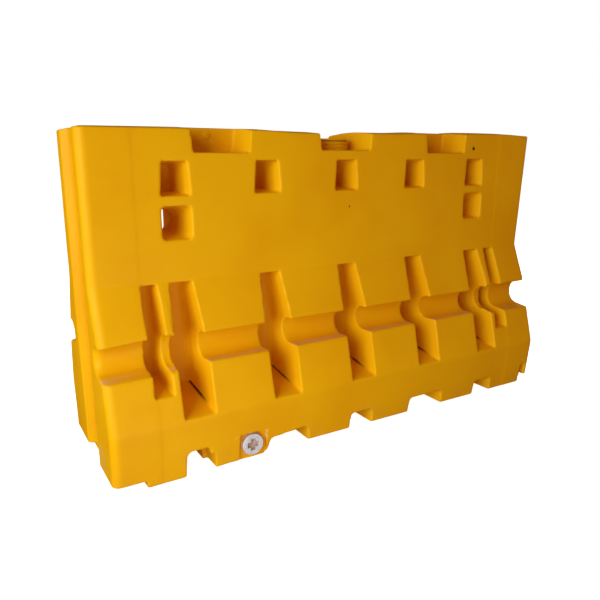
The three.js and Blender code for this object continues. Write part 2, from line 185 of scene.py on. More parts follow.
# The drain pad, plug, gasket and bushing, about an axis along Y
BUSH_LOW, BUSH_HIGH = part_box("drain_bushing")
HEAD_LOW, HEAD_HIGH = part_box("drain_plug")
DRAIN_SEAL_LOW, DRAIN_SEAL_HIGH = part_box("drain_gasket")
DRAIN = (HEAD_LOW + HEAD_HIGH) / 2
PAD_HALF = 51 * MM
PAD_TOP = 90 * MM
PAD_Y = 252 * MM
BOSS_RADIUS = 47 * MM
BOSS_HEIGHT = 1.4 * MM
DRAIN_PITCH = 5 * MM
DRAIN_THREAD_RISE = 1.1 * MM
DRAIN_BORE = 30.3 * MM
DRAIN_SHANK = 22.5 * MM
BUSH_BORE = 25.2 * MM
DRIVE_DEPTH = 12 * MM

# The vent plug in a top recess
VENT_LOW, VENT_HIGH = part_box("vent_plug")
VENT = (VENT_LOW + VENT_HIGH) / 2
VENT_BORE = 6.3 * MM

# A stray drilled hole in the front of the upper wall
NAIL_X = 624 * MM
NAIL_Z = 1012 * MM
NAIL_RADIUS = 4.5 * MM


# ---- outlines and lofts


def edges_at(corners, i):
    here = Vector(corners[i][:2])
    arriving = (here - Vector(corners[i - 1][:2])).normalized()
    leaving = (Vector(corners[(i + 1) % len(corners)][:2]) - here).normalized()
    return here, arriving, leaving


def rounded_outline(corners, steps=ARC_STEPS):
    """The points of a closed outline of (x, y, radius) corners, each corner with a radius as an arc."""
    points = []
    for i, corner in enumerate(corners):
        here, arriving, leaving = edges_at(corners, i)
        radius = corner[2]
        if not radius:
            points.append(here)
            continue
        half_angle = (-arriving).angle(leaving) / 2
        reach = radius / math.tan(half_angle)
        centre = here + (leaving - arriving).normalized() * radius / math.sin(half_angle)
        start = here - arriving * reach - centre
        end = here + leaving * reach - centre
        turn = math.atan2(start.cross(end), start.dot(end))
        for k in range(steps + 1):
            points.append(centre + Matrix.Rotation(turn * k / steps, 2) @ start)
    return points


def grown(corners, distance):
    """The corners of a counterclockwise outline with each edge moved outwards by a distance."""
    moved = []
    for i, (x, y, radius) in enumerate(corners):
        _, arriving, leaving = edges_at(corners, i)
        share = distance / (1 + arriving.dot(leaving))
        convex = arriving.cross(leaving) > 0
        new_radius = max(radius + (distance if convex else -distance), 1 * MM) if radius else 0
        moved.append(
            (x + (arriving.y + leaving.y) * share, y - (arriving.x + leaving.x) * share, new_radius)
        )
    return moved


def in_plan(point, height):
    return Vector((point.x, point.y, height))


def in_front_view(point, depth):
    return Vector((point.x, depth, point.y))


def in_end_view(point, along):
    return Vector((along, point.x, point.y))


def new_object(name, data):
    made = bpy.data.objects.new(name, data)
    bpy.context.scene.collection.objects.link(made)
    return made


def closed_mesh(name, points, faces):
    """A mesh whose faces all look outwards."""
    mesh = bpy.data.meshes.new(name)
    mesh.from_pydata(points, [], faces)
    work = bmesh.new()
    work.from_mesh(mesh)
    bmesh.ops.recalc_face_normals(work, faces=work.faces)
    work.to_mesh(mesh)
    work.free()
    return mesh


def loft(levels, place):
    """A closed mesh that skins (station, outline) levels with equal numbers of points."""
    count = len(levels[0][1])
    points = [place(point, at) for at, outline in levels for point in outline]
    faces = []
    for level in range(len(levels) - 1):
        for i in range(count):
            here = level * count + i
            following = level * count + (i + 1) % count
            faces.append((here, following, following + count, here + count))
    for level in (0, len(levels) - 1):
        outline = [place(point, 0.0) for point in levels[level][1]]
        for face in tessellate_polygon([outline]):
            faces.append(tuple(i + level * count for i in face))
    return closed_mesh("loft", points, faces)


def half_turned(mesh):
    turned = mesh.copy()
    turned.transform(Matrix.Rotation(math.pi, 4, "Z"))
    return turned


def trapezoid(centre, low, high, half_low, half_high, radius):
    return [
        (centre - half_low, low, radius),
        (centre + half_low, low, radius),
        (centre + half_high, high, radius),
        (centre - half_high, high, radius),
    ]


# ---- the moulded block


def outline_of(corners, grow=0.0):
    return rounded_outline(grown(corners, grow))


def end_view(lips, crown, proud):
    lower_lip, upper_lip = lips
    right = [
        (FOOT_Y + proud, 0.0, LIP_RADIUS),
        (FLARE_Y + proud, FLARE_Z, FLARE_RADIUS),
        (LOWER_LIP_Y + proud, lower_lip, LIP_RADIUS),
        (GROOVE_BACK_Y, GROOVE_FLOOR_Z, GROOVE_RADIUS),
        (GROOVE_BACK_Y, GROOVE_CEILING_Z, GROOVE_RADIUS),
        (UPPER_LIP_Y + proud, upper_lip, LIP_RADIUS),
        (WAIST_Y + proud, WAIST_Z, WAIST_RADIUS),
        (TOP_EDGE_Y + proud, TOP_EDGE_Z, TOP_EDGE_RADIUS),
    ]
    left = [(-y, z, radius) for y, z, radius in reversed(right)]
    top = [(0.0, TOP_EDGE_Z + max(crown, 0.5 * MM), CROWN_RADIUS)]
    return right + top + left


def edge_narrowing(distance, radius):
    """How far a rounded vertical edge has drawn in, at a distance from the end face."""
    if distance >= radius:
        return 0.0
    return radius - math.sqrt(radius**2 - (radius - distance) ** 2)


def narrowed(outline, front, back):
    """The outline drawn in by one amount at the front, -Y, and by another at the back."""
    full = TOP_EDGE_Y / 2
    moved = []
    for point in outline:
        share = max(-1.0, min(1.0, point.x / full))
        moved.append(Vector((point.x - share * (back if share > 0 else front), point.y)))
    return moved


def left_lips(at, lips):
    """The groove narrows towards the left end face."""
    share = max(0.0, (at - END_BLOCK_START) / (LENGTH / 2 - END_BLOCK_START))
    return lips[0] - LEFT_LOWER_DROP * share, lips[1] - LEFT_UPPER_DROP * share


def block(inset=0.0):
    """The outer face of the shell, or the inner one with an inset, before anything is cut into it."""

    def view(lips, crown, proud, front=0.0, back=0.0):
        return narrowed(outline_of(end_view(lips, crown, proud), -inset), front, back)

    half = []
    for distance in END_STATIONS:
        sharp = edge_narrowing(distance, SHARP_END_RADIUS - inset)
        soft = edge_narrowing(distance, SOFT_END_RADIUS - inset)
        crown = CROWN * min(1.0, distance / SOFT_END_RADIUS)
        half.append((LENGTH / 2 - inset - distance, END_LIPS, crown, PROUD, sharp, soft))
    half.append((PROUD_START + PROUD, END_LIPS, CROWN, PROUD))
    half.append((PROUD_START, END_LIPS, CROWN, 0.0))
    half.append((END_BLOCK_START, END_LIPS, CROWN, 0.0))
    half.append((END_BLOCK_START - END_BLOCK_STEP, MAIN_LIPS, CROWN, 0.0))
    right = [(at, view(*sizes)) for at, *sizes in half]
    left = []
    for at, lips, *sizes in reversed(half):
        narrowing = reversed(sizes[2:])
        left.append((-at, view(left_lips(at, lips), *sizes[:2], *narrowing)))
    return loft(right + left, in_end_view)


# ---- what is cut into the block


def cutter(levels, place, grow):
    """A cutter between levels of corners, grown on its sides and at its closed end, which is last."""
    towards = math.copysign(1.0, levels[-1][0] - levels[-2][0])
    made = [(at, outline_of(corners, grow)) for at, corners in levels]
    closed_at, closed_outline = made[-1]
    made[-1] = (closed_at + towards * grow, closed_outline)
    return loft(made, place)


def bay(centre, front_y, front_half, back_y, back_half, radius):
    """A plan that is open towards the front, -Y, with round corners at its back."""
    return [
        (centre - front_half, -front_y - OVERSHOOT, 0),
        (centre + front_half, -front_y - OVERSHOOT, 0),
        (centre + back_half, -back_y, radius),
        (centre - back_half, -back_y, radius),
    ]


def slot(centre, opening, back_y, floor, grow):
    """A tall slot that widens downwards: an outline in plan under a side view with a sloping floor."""
    levels = []
    for z, face_y, half in opening:
        back_half = 0.8 * half
        outer_half = half + (half - back_half) * OVERSHOOT / (face_y - back_y)
        radius = min(SLOT_CORNER, back_half - 1 * MM)
        corners = bay(centre, face_y, outer_half, back_y, back_half, radius)
        levels.append((z, outline_of(corners, grow)))
    reach = FLARE_Y + OVERSHOOT
    front_z, back_z = floor
    slope = (back_z - front_z) / (FLARE_Y - back_y)
    ceiling = opening[0][0] - 2 * OVERSHOOT
    side = [
        (-reach, front_z - OVERSHOOT * slope, 0),
        (-back_y, back_z, 20 * MM),
        (-back_y, ceiling, 12 * MM),
        (-reach, ceiling, 0),
    ]
    side_outline = outline_of(side, grow)
    across = loft([(centre - PITCH, side_outline), (centre + PITCH, side_outline)], in_end_view)
    return combined(loft(levels, in_plan), [across], "INTERSECT")


def main_slot(centre, grow):
    opening = [
        (SLOT_CEILING_Z + 2 * OVERSHOOT, WAIST_Y, 37 * MM),
        (SLOT_CEILING_Z, WAIST_Y, 37 * MM),
        (435 * MM, UPPER_LIP_Y, 49 * MM),
        (345 * MM, LOWER_LIP_Y, 52 * MM),
        (FLARE_Z - OVERSHOOT, FLARE_Y, 50 * MM),
    ]
    return slot(centre, opening, SLOT_BACK_Y, MAIN_FLOOR, grow)


def small_slot(centre, grow):
    opening = [
        (SLOT_CEILING_Z + 2 * OVERSHOOT, WAIST_Y, 25 * MM),
        (SLOT_CEILING_Z, WAIST_Y, 25 * MM),
        (435 * MM, UPPER_LIP_Y, 29 * MM),
        (FLARE_Z, FLARE_Y, 31 * MM),
    ]
    return slot(centre, opening, SMALL_SLOT_BACK_Y, SMALL_FLOOR, grow)


def upper_pocket(centre, grow):
    outer = trapezoid(centre, *mm(860, 976, 60, 52, 5))
    inner = trapezoid(centre, *mm(877, 963, 23, 20, 3))
    levels = [(-TOP_EDGE_Y - OVERSHOOT, outer), (-POCKET_BACK_Y, inner)]
    return cutter(levels, in_front_view, grow)


def through_hole(centre, grow):
    outer = trapezoid(centre, *mm(723, 845, 55, 55, 10))
    inner = trapezoid(centre, *mm(751, 815, 30, 30, 29))
    return cutter([(-TOP_EDGE_Y - OVERSHOOT, outer), (1 * MM, inner)], in_front_view, grow)


def top_recess(centre, grow):
    def corners_at(half):
        return bay(centre, TOP_EDGE_Y, half, RECESS_BACK_Y, half - 4 * MM, RECESS_CORNER)

    levels = [(TOP_EDGE_Z + OVERSHOOT, corners_at(110 * MM)), (RECESS_FLOOR_Z, corners_at(97 * MM))]
    return cutter(levels, in_plan, grow)


def passage(corners, grow, depth=1 * MM):
    return cutter([(-FLARE_Y - OVERSHOOT, corners), (depth, corners)], in_front_view, grow)


def filler_recess(grow):
    corners = trapezoid(0, FILLER_FLOOR_Z, 1100 * MM, FILLER_RECESS_HALF, 114 * MM, 5 * MM)
    return passage(corners, grow)


def mouth(low_left, low_right, high_right, high_left, height, radius):
    """The corners of an opening that comes up from below the ground."""
    return [
        (low_left, -OVERSHOOT, 0),
        (low_right, -OVERSHOOT, 0),
        (high_right, height, radius),
        (high_left, height, radius),
    ]


def tunnel(centre, half, grow):
    corners = trapezoid(centre, -OVERSHOOT, TUNNEL_HEIGHT, half + 6 * MM, half - 5 * MM, 16 * MM)
    return passage(corners, grow)


def drain_side_tunnel(grow):
    """The fork tunnel by the drain, whose wall stands further in to leave room for the drain pad."""
    right = -PITCH + FORK_TUNNEL_HALF
    left = -PITCH - FORK_TUNNEL_HALF + DRAIN_FOOT_REACH
    corners = [
        (left - OVERSHOOT, -OVERSHOOT, 0),
        (right + 6 * MM, -OVERSHOOT, 0),
        (right - 5 * MM, TUNNEL_HEIGHT, 16 * MM),
        (left + 8 * MM, TUNNEL_HEIGHT - DRAIN_CEILING_DROP, 16 * MM),
        (left + 1 * MM, 20 * MM, 12 * MM),
        (left - 12 * MM, 2 * MM, 6 * MM),
    ]
    return passage(corners, grow)


def stepped_tunnel(centre, grow):
    """The tunnel next to the raised end is taller, and its wall steps inwards halfway in."""
    left = centre - NARROW_TUNNEL_HALF
    right = centre + NARROW_TUNNEL_HALF
    step = right - 16 * MM
    ends = (left - 3 * MM, left + 6 * MM)
    inner = mouth(ends[0], step + 4 * MM, step - 4 * MM, ends[1], TALL_TUNNEL_HEIGHT, 16 * MM)
    outer = mouth(ends[0], right + 4 * MM, right - 4 * MM, ends[1], TUNNEL_HEIGHT, 12 * MM)
    return [passage(inner, grow), passage(outer, grow, -178 * MM)]


def raised_end(grow):
    edge = LENGTH / 2 + OVERSHOOT
    corners = [
        (-edge, -OVERSHOOT, 0),
        (RAISED_END_X[0], -OVERSHOOT, 0),
        (RAISED_END_X[1], RAISED_END, LIP_RADIUS),
        (-edge, RAISED_END, 0),
    ]
    return passage(corners, grow)


def hooked_end(grow):
    """The other end has a hooked flange with a slot behind it."""
    edge = LENGTH / 2 + OVERSHOOT
    flange = HOOK_X + 2 * MM
    under = mouth(flange, edge, edge, flange, RAISED_END + 3 * MM, 0)
    outer = trapezoid(HOOK_X, -OVERSHOOT, 90 * MM, 24 * MM, 12 * MM, 11 * MM)
    inner = trapezoid(HOOK_X, -OVERSHOOT, 76 * MM, 22 * MM, 12 * MM, 11 * MM)
    levels = [(-FLARE_Y - OVERSHOOT, outer), (-150 * MM, inner)]
    return [passage(under, grow), cutter(levels, in_front_view, grow)]


def end_channel(grow):
    end = LENGTH / 2
    flare = 22 * MM
    half = [
        (end - CHANNEL_DEPTH, CHANNEL_HALF - 6 * MM, 14 * MM),
        (end - flare, CHANNEL_HALF, 20 * MM),
        (end + OVERSHOOT, CHANNEL_HALF + 2.4 * flare, 0),
    ]
    corners = [(x, -y, radius) for x, y, radius in half] + half[::-1]
    outline = outline_of(corners, grow)
    return loft([(-OVERSHOOT, outline), (TOP_EDGE_Z + OVERSHOOT, outline)], in_plan)


def crease(centre, side):
    """A thin groove where the sloping floor of a main slot meets one of its side walls."""
    front_z, back_z = MAIN_FLOOR
    front = Vector((centre + side * CREASE_FRONT_HALF, -FLARE_Y, front_z))
    back = Vector((centre + side * CREASE_BACK_HALF, -SLOT_BACK_Y, back_z))
    tip = front.lerp(back, CREASE_FADE)
    inwards = Vector((side, 0, -1)).normalized() * CREASE_DEPTH
    across = Vector((side, 0, 1)).normalized() * CREASE_WIDTH / 2
    points = [back - inwards + across, back - inwards - across, back + inwards, tip]
    return closed_mesh("crease", points, [(0, 1, 2), (0, 3, 1), (1, 3, 2), (2, 3, 0)])


def side_cutters(grow=0.0):
    cuts = [main_slot(k * PITCH, grow) for k in HALF_PITCHES]
    cuts += [upper_pocket(k * PITCH, grow) for k in HALF_PITCHES]
    cuts += [small_slot(x, grow) for x in (-SMALL_SLOT_X, SMALL_SLOT_X)]
    cuts += [through_hole(x, grow) for x in (-2 * PITCH, 2 * PITCH)]
    cuts += [top_recess(x, grow) for x in (-RECESS_X, RECESS_X)]
    cuts += [tunnel(PITCH, FORK_TUNNEL_HALF, grow), drain_side_tunnel(grow)]
    cuts += [tunnel(x, NARROW_TUNNEL_HALF, grow) for x in (0, 2 * PITCH)]
    cuts += stepped_tunnel(-2 * PITCH, grow)
    cuts += [filler_recess(grow), raised_end(grow), end_channel(grow)]
    cuts += hooked_end(grow)
    return cuts + [half_turned(cut) for cut in cuts]


# ---- booleans and remeshing


def remove(made):
    mesh = made.data
    bpy.data.objects.remove(made)
    bpy.data.meshes.remove(mesh)


def evaluated(made, name):
    """The mesh that an object's modifiers give. The object and its own mesh are removed."""
    bpy.context.view_layer.update()
    graph = bpy.context.evaluated_depsgraph_get()
    result = bpy.data.meshes.new_from_object(made.evaluated_get(graph))
    result.name = name
    remove(made)
    return result


def combined(base, others, operation):
    """One mesh from a base mesh and others, each joined to it, cut from it or met with it."""
    work = new_object("work", base)
    operands = []
    for other in others:
        operand = new_object("operand", other)
        operands.append(operand)
        step = work.modifiers.new("boolean", "BOOLEAN")
        step.solver = "MANIFOLD"
        step.operation = operation
        step.object = operand
    result = evaluated(work, "combined")
    for operand in operands:
        remove(operand)
    return result


def cut(base, *others):
    return combined(base, others, "DIFFERENCE")


def joined(base, *others):
    return combined(base, others, "UNION")


def softened(mesh, voxel, rounds):
    """The mesh as an even skin with its edges and corners rounded."""
    work = new_object("work", mesh)
    skin = work.modifiers.new("skin", "REMESH")
    skin.mode = "VOXEL"
    skin.voxel_size = voxel
    smooth = work.modifiers.new("smooth", "SMOOTH")
    smooth.factor = 0.5
    smooth.iterations = rounds
    return evaluated(work, "soft")


def thinned(mesh, triangles):
    """The mesh with about that many triangles, fewest where it is flat."""
    mesh.calc_loop_triangles()
    work = new_object("work", mesh)
    collapse = work.modifiers.new("collapse", "DECIMATE")
    collapse.ratio = min(1.0, triangles / len(mesh.loop_triangles))
    return evaluated(work, "thinned")


def read_vectors(items, field):
    flat = np.empty(3 * len(items), np.float32)
    items.foreach_get(field, flat)
    return flat.reshape(-1, 3)


def positions(mesh):
    return read_vectors(mesh.vertices, "co")


def vertex_normals(mesh):
    return read_vectors(mesh.vertex_normals, "vector")


def moved_to(mesh, points):
    mesh.vertices.foreach_set("co", points.ravel())
    mesh.update()
    return mesh


def rippled(mesh, height, size):
    """Gentle waves over the faces, as a moulding has when it comes warm from its mould."""
    points = positions(mesh)
    waves = np.array([noise.noise(Vector(p) / size) for p in points.tolist()], np.float32)
    points += vertex_normals(mesh) * waves[:, None] * height
    return moved_to(mesh, points)


# ---- turned pieces


def helix_height(turn, height, pitch):
    """From 0 between the ridges of a right-hand thread to 1 on them."""
    phase = height / pitch - turn
    return (1 - math.cos(2 * math.pi * phase)) / 2


def turned(corners, steps=96, thread=None):
    """A body turned about +Z from (radius, height, rounding) corners, counterclockwise.

    A thread is (wall, low, high, pitch, rise): a helix that moves its wall by up to the rise.
    """
    outline = subdivided(rounded_outline(corners, 4), 1.2 * MM if thread else 1.0)
    work = bmesh.new()
    rings = []
    for k in range(steps):
        angle = 2 * math.pi * k / steps
        ring = []
        for point in outline:
            radius = point.x + (thread_rise(thread, point, k / steps) if thread else 0.0)
            place = (radius * math.cos(angle), radius * math.sin(angle), point.y)
            ring.append(work.verts.new(place))
        rings.append(ring)
    for k in range(steps):
        ring, following = rings[k], rings[(k + 1) % steps]
        for i in range(len(outline)):
            j = (i + 1) % len(outline)
            if outline[i].x < 1e-7 and outline[j].x < 1e-7:
                continue
            work.faces.new((ring[i], following[i], following[j], ring[j]))
    bmesh.ops.remove_doubles(work, verts=work.verts, dist=1e-7)
    bmesh.ops.recalc_face_normals(work, faces=work.faces)
    mesh = bpy.data.meshes.new("turned")
    work.to_mesh(mesh)
    work.free()
    return mesh


def subdivided(outline, longest):
    points = []
    for i, point in enumerate(outline):
        following = outline[(i + 1) % len(outline)]
        count = max(1, math.ceil((following - point).length / longest))
        points += [point.lerp(following, k / count) for k in range(count)]
    return points


def thread_rise(thread, point, turn):
    wall, low, high, pitch, rise = thread
    if abs(point.x - wall) > 0.3 * MM or not low < point.y < high:
        return 0.0
    fade = min(1.0, (point.y - low) / (pitch / 2), (high - point.y) / (pitch / 2))
    return rise * fade * helix_height(turn, point.y, pitch)


def rod(radius, low, high):
    return turned([(0, low, 0), (radius, low, 0), (radius, high, 0), (0, high, 0)])


def out_of_front(mesh, x, y, z):
    """Turns a mesh made about +Z to point out of the front face, at a place on the barrier."""
    mesh.transform(Matrix.Translation((x, y, z)) @ Matrix.Rotation(math.pi / 2, 4, "X"))
    return mesh


def at_drain(mesh, y=-PAD_Y):
    """Turns a mesh made about +Z to point out of the drain, from a place along its axis."""
    return out_of_front(mesh, DRAIN.x, y, DRAIN.z)


# ---- the shell


def filler_neck():
    """The neck that stands in the filler recess, with a coarse rounded thread outside."""
    pitch = (NECK_TOP - FILLER_FLOOR_Z) / NECK_RIDGES
    corners = [
        (NECK_BORE, FILLER_FLOOR_Z - 10 * MM, 0),
        (NECK_VALLEY, FILLER_FLOOR_Z - 10 * MM, 0),
        (NECK_VALLEY, NECK_TOP, 1.5 * MM),
        (NECK_BORE, NECK_TOP, 1.5 * MM),
    ]
    low = FILLER_FLOOR_Z + 1 * MM
    high = NECK_TOP - 2 * MM
    return turned(corners, 128, (NECK_VALLEY, low, high, pitch, NECK_RIDGE))


def ragged(corners, spacing, depth, rng):
    """A closed outline of straight edges, as a hand-held cutter leaves them."""
    points = subdivided([Vector(corner[:2]) for corner in corners], spacing)
    return [p + Vector((rng.uniform(-depth, depth), rng.uniform(-depth, depth))) for p in points]


def pad_edge():
    left = DRAIN.x - PAD_HALF
    right = DRAIN.x + PAD_HALF
    return mouth(left, right, right, left, PAD_TOP, 0)


def drain_pad():
    """The machined recess round the drain, with a low round boss left in the middle."""
    outline = ragged(pad_edge(), 4 * MM, 0.7 * MM, random.Random(5))
    floor_y = -PAD_Y + BOSS_HEIGHT
    recess = loft([(-FLARE_Y - OVERSHOOT, outline), (floor_y, outline)], in_front_view)
    boss = at_drain(rod(BOSS_RADIUS, -BOSS_HEIGHT, 0))
    return cut(recess, boss)


def drain_back(grow):
    """What keeps the cavity a wall's thickness behind the drain pad."""
    levels = [(-FLARE_Y - OVERSHOOT, pad_edge()), (-PAD_Y, pad_edge())]
    return cutter(levels, in_front_view, grow)


def rising(values, low, high):
    """From 0 where the values are at low, smoothly, to 1 where they are at high."""
    share = np.clip((values - low) / (high - low), 0.0, 1.0)
    return share * share * (3 - 2 * share)


def hump(values, start, full, fading, gone):
    """From 0 up to 1 and down to 0 again, as the values pass four marks."""
    return rising(values, start, full) * (1 - rising(values, fading, gone))


def foot_sag(x, height):
    left_foot = rising(-x, *SAG_RANGE) * (1 - rising(height, 0, SAG_TOP))
    drain_foot = hump(-x, *DRAIN_FOOT_SPAN) * (1 - rising(height, 0, DRAIN_SAG_TOP))
    return FOOT_SAG * left_foot + DRAIN_FOOT_SAG * drain_foot


def top_wave(x, height):
    waves = sum(size * hump(x, *span) for span, size in TOP_WAVES)
    return waves * rising(height, *TOP_WAVE_RANGE)


def warped(mesh):
    """The set that the moulding has taken: feet sag, the top waves, one end leans and one bows."""
    points = positions(mesh)
    x, y, height = (points[:, k].copy() for k in range(3))
    leaning = rising(x, *LEAN_RANGE) * np.clip((height - WAIST_Z) / (TOP_EDGE_Z - WAIST_Z), 0, 1)
    back_left = rising(-x, *LEAN_RANGE) * rising(y, *BACK_RANGE)
    points[:, 0] += TOP_LEAN * leaning
    points[:, 1] *= 1 + TOP_BOW / TOP_EDGE_Y * leaning
    points[:, 1] += BACK_BOW * back_left * hump(height, *BACK_BOW_SPAN)
    points[:, 2] += BACK_LIP_RISE * back_left * hump(height, *BACK_LIP_SPAN)
    points[:, 2] += top_wave(x, height) - foot_sag(x, height)
    return moved_to(mesh, points)


def barrier_shell():
    outer = softened(cut(block(), *side_cutters()), OUTER_VOXEL, OUTER_ROUNDS)
    outer = rippled(outer, RIPPLE_HEIGHT, RIPPLE_SIZE)
    outer = thinned(outer, OUTER_TRIANGLES)
    cavity = cut(block(WALL), *side_cutters(WALL), drain_back(WALL))
    creases = [crease(k * PITCH, side) for k in HALF_PITCHES for side in (-1, 1)]
    creases += [half_turned(groove) for groove in creases]
    hollow = cut(outer, cavity, drain_pad(), *creases)
    necked = joined(hollow, filler_neck())
    bore = rod(NECK_BORE, FILLER_FLOOR_Z - 20 * MM, NECK_TOP + 10 * MM)
    drain = at_drain(rod(DRAIN_BORE, -20 * MM, 10 * MM))
    vent = out_of_front(rod(VENT_BORE, -20 * MM, 10 * MM), VENT.x, -RECESS_BACK_Y, VENT.z)
    nail_hole = out_of_front(rod(NAIL_RADIUS, -4 * MM, 30 * MM), NAIL_X, -TOP_EDGE_Y, NAIL_Z)
    return warped(cut(necked, bore, drain, vent, nail_hole))


# ---- plugs, gaskets and bushing


def filler_cap():
    """A cup with a flange, a dished top, a coarse thread and a bar to turn it by."""
    flange_low = FILLER_SEAL_HIGH.z + GAP
    top = PLUG_HIGH.z
    flange = PLUG_HIGH.x
    floor = top - CUP_DEPTH
    low = PLUG_LOW.z
    corners = [
        (0, floor - 6 * MM, 0),
        (62 * MM, floor - 6 * MM, 3 * MM),
        (65 * MM, low, 1 * MM),
        (FILLER_SHANK, low, 1.5 * MM),
        (FILLER_SHANK, flange_low, 0),
        (flange, flange_low, 0.8 * MM),
        (flange, top, 2.2 * MM),
        (CUP_RIM, top, 2 * MM),
        (CUP_RIM - 6 * MM, floor, 5 * MM),
        (0, floor, 0),
    ]
    thread = (FILLER_SHANK, low + 1 * MM, flange_low - 1 * MM, FILLER_PITCH, FILLER_THREAD_RISE)
    cup = turned(corners, 128, thread)
    return joined(cup, grip_bar(floor, top))


def grip_bar(floor, top):
    """The bar across the filler plug's cup, with rounded vertical edges and a bevelled top."""

    def outline(inset):
        corners = trapezoid(0, -GRIP_WIDTH / 2, GRIP_WIDTH / 2, GRIP_HALF, GRIP_HALF, 3 * MM)
        return outline_of(corners, -inset)

    bevel = 1.5 * MM
    high = top - 1.5 * MM
    insets = ((floor - 2 * MM, 0), (high - bevel, 0), (high - 0.4 * bevel, 0.4 * bevel), (high, bevel))
    return loft([(z, outline(inset)) for z, inset in insets], in_plan)


def ring(inner, outer, low, high, rounding):
    corners = [(inner, low), (outer, low), (outer, high), (inner, high)]
    return turned([(radius, at, rounding) for radius, at in corners])


def filler_seal():
    low, high = FILLER_SEAL_LOW, FILLER_SEAL_HIGH
    return ring(75.5 * MM, high.x, low.z, high.z, 0.7 * MM)


def drain_seal():
    thickness = DRAIN_SEAL_HIGH.y - DRAIN_SEAL_LOW.y
    radius = DRAIN_SEAL_HIGH.z - DRAIN.z
    return at_drain(ring(24.4 * MM, radius, 0, thickness, 0.7 * MM), DRAIN_SEAL_HIGH.y)


def drain_bush():
    flange = BUSH_HIGH.z - DRAIN.z
    barrel = DRAIN_BORE - GAP
    face = -PAD_Y - BUSH_LOW.y
    back = -PAD_Y - BUSH_HIGH.y
    corners = [
        (BUSH_BORE, back, 1 * MM),
        (barrel, back, 1 * MM),
        (barrel, GAP, 0),
        (flange, GAP, 0.8 * MM),
        (flange, face, 1.5 * MM),
        (BUSH_BORE, face, 0.6 * MM),
    ]
    thread = (BUSH_BORE, back + 1 * MM, face - 1 * MM, DRAIN_PITCH, -DRAIN_THREAD_RISE)
    return at_drain(turned(corners, 96, thread))


def cross(arm, width, radius):
    """A plus-shaped outline, counterclockwise."""
    quarter = [(width, -width), (arm, -width), (arm, width)]
    corners = []
    for k in range(4):
        turn = Matrix.Rotation(k * math.pi / 2, 2)
        for place in quarter:
            point = turn @ Vector(place)
            corners.append((point.x, point.y, radius))
    return outline_of(corners)


def wrench_recess(floor, face):
    levels = [
        (floor, cross(19.5 * MM, 8.5 * MM, 1.5 * MM)),
        (face - 1 * MM, cross(21 * MM, 9.5 * MM, 1.5 * MM)),
        (face + 1 * MM, cross(23 * MM, 11 * MM, 1.5 * MM)),
    ]
    return loft(levels, in_plan)


def drain_cap():
    """A flat head with a cross-shaped wrench recess, on a hollow threaded shank."""
    face = -HEAD_LOW.y
    back = -DRAIN_SEAL_LOW.y + GAP
    tail = -HEAD_HIGH.y
    radius = HEAD_HIGH.z - DRAIN.z
    floor = face - DRIVE_DEPTH
    corners = [
        (0, floor - 4 * MM, 0),
        (18 * MM, floor - 4 * MM, 1 * MM),
        (18 * MM, tail, 0.8 * MM),
        (DRAIN_SHANK, tail, 1 * MM),
        (DRAIN_SHANK, back, 0),
        (radius, back, 1 * MM),
        (radius, face, 2.6 * MM),
        (33 * MM, face, 0.4 * MM),
        (32.4 * MM, face - 0.9 * MM, 0.3 * MM),
        (31 * MM, face - 0.9 * MM, 0.3 * MM),
        (30.4 * MM, face, 0.4 * MM),
        (0, face, 0),
    ]
    thread = (DRAIN_SHANK, tail + 1 * MM, back - 1 * MM, DRAIN_PITCH, DRAIN_THREAD_RISE)
    body = cut(turned(corners, 96, thread), wrench_recess(floor, face))
    body = joined(body, *[pip(angle, face) for angle in (45, 135, 225, 315)])
    return at_drain(body, 0.0)


def pip(angle, face):
    """A small raised dot on the head of the drain plug, between two arms of its recess."""
    radius = 2.2 * MM
    reach = 22 * MM
    corners = [
        (0, face - 1 * MM, 0),
        (radius, face - 1 * MM, 0),
        (radius, face + 0.3 * MM, 0.4 * MM),
        (0, face + 0.9 * MM, 0),
    ]
    made = turned(corners, 20)
    a = math.radians(angle)
    made.transform(Matrix.Translation((reach * math.cos(a), reach * math.sin(a), 0)))
    return made


def vent_cap():
    """A shallow dome with a rim, on a short stem."""
    height = -RECESS_BACK_Y - VENT_LOW.y
    depth = -RECESS_BACK_Y - VENT_HIGH.y
    radius = VENT_HIGH.x - VENT.x
    stem = VENT_BORE - GAP
    corners = [
        (0, depth, 0),
        (stem, depth, 1 * MM),
        (stem, GAP, 0),
        (radius, GAP, 0.5 * MM),
        (radius - 1 * MM, 0.6 * height, 0.8 * MM),
        (0.5 * radius, height, 4 * MM),
        (0, height, 0),
    ]
    return out_of_front(turned(corners, 48), VENT.x, -RECESS_BACK_Y, VENT.z)


# ---- wear, measured on the mesh


def edge_ends(mesh):
    ends = np.empty(2 * len(mesh.edges), np.int32)
    mesh.edges.foreach_get("vertices", ends)
    return ends.reshape(-1, 2).T


def edge_counts(first, second, count):
    """How many edges each vertex has, or 1 where it has none."""
    return np.maximum(np.bincount(first, minlength=count) + np.bincount(second, minlength=count), 1)


def neighbour_mean(values, first, second, count):
    """The mean over each vertex's neighbours of a value for each vertex."""
    total = np.bincount(first, values[second], count) + np.bincount(second, values[first], count)
    return total / edge_counts(first, second, count)


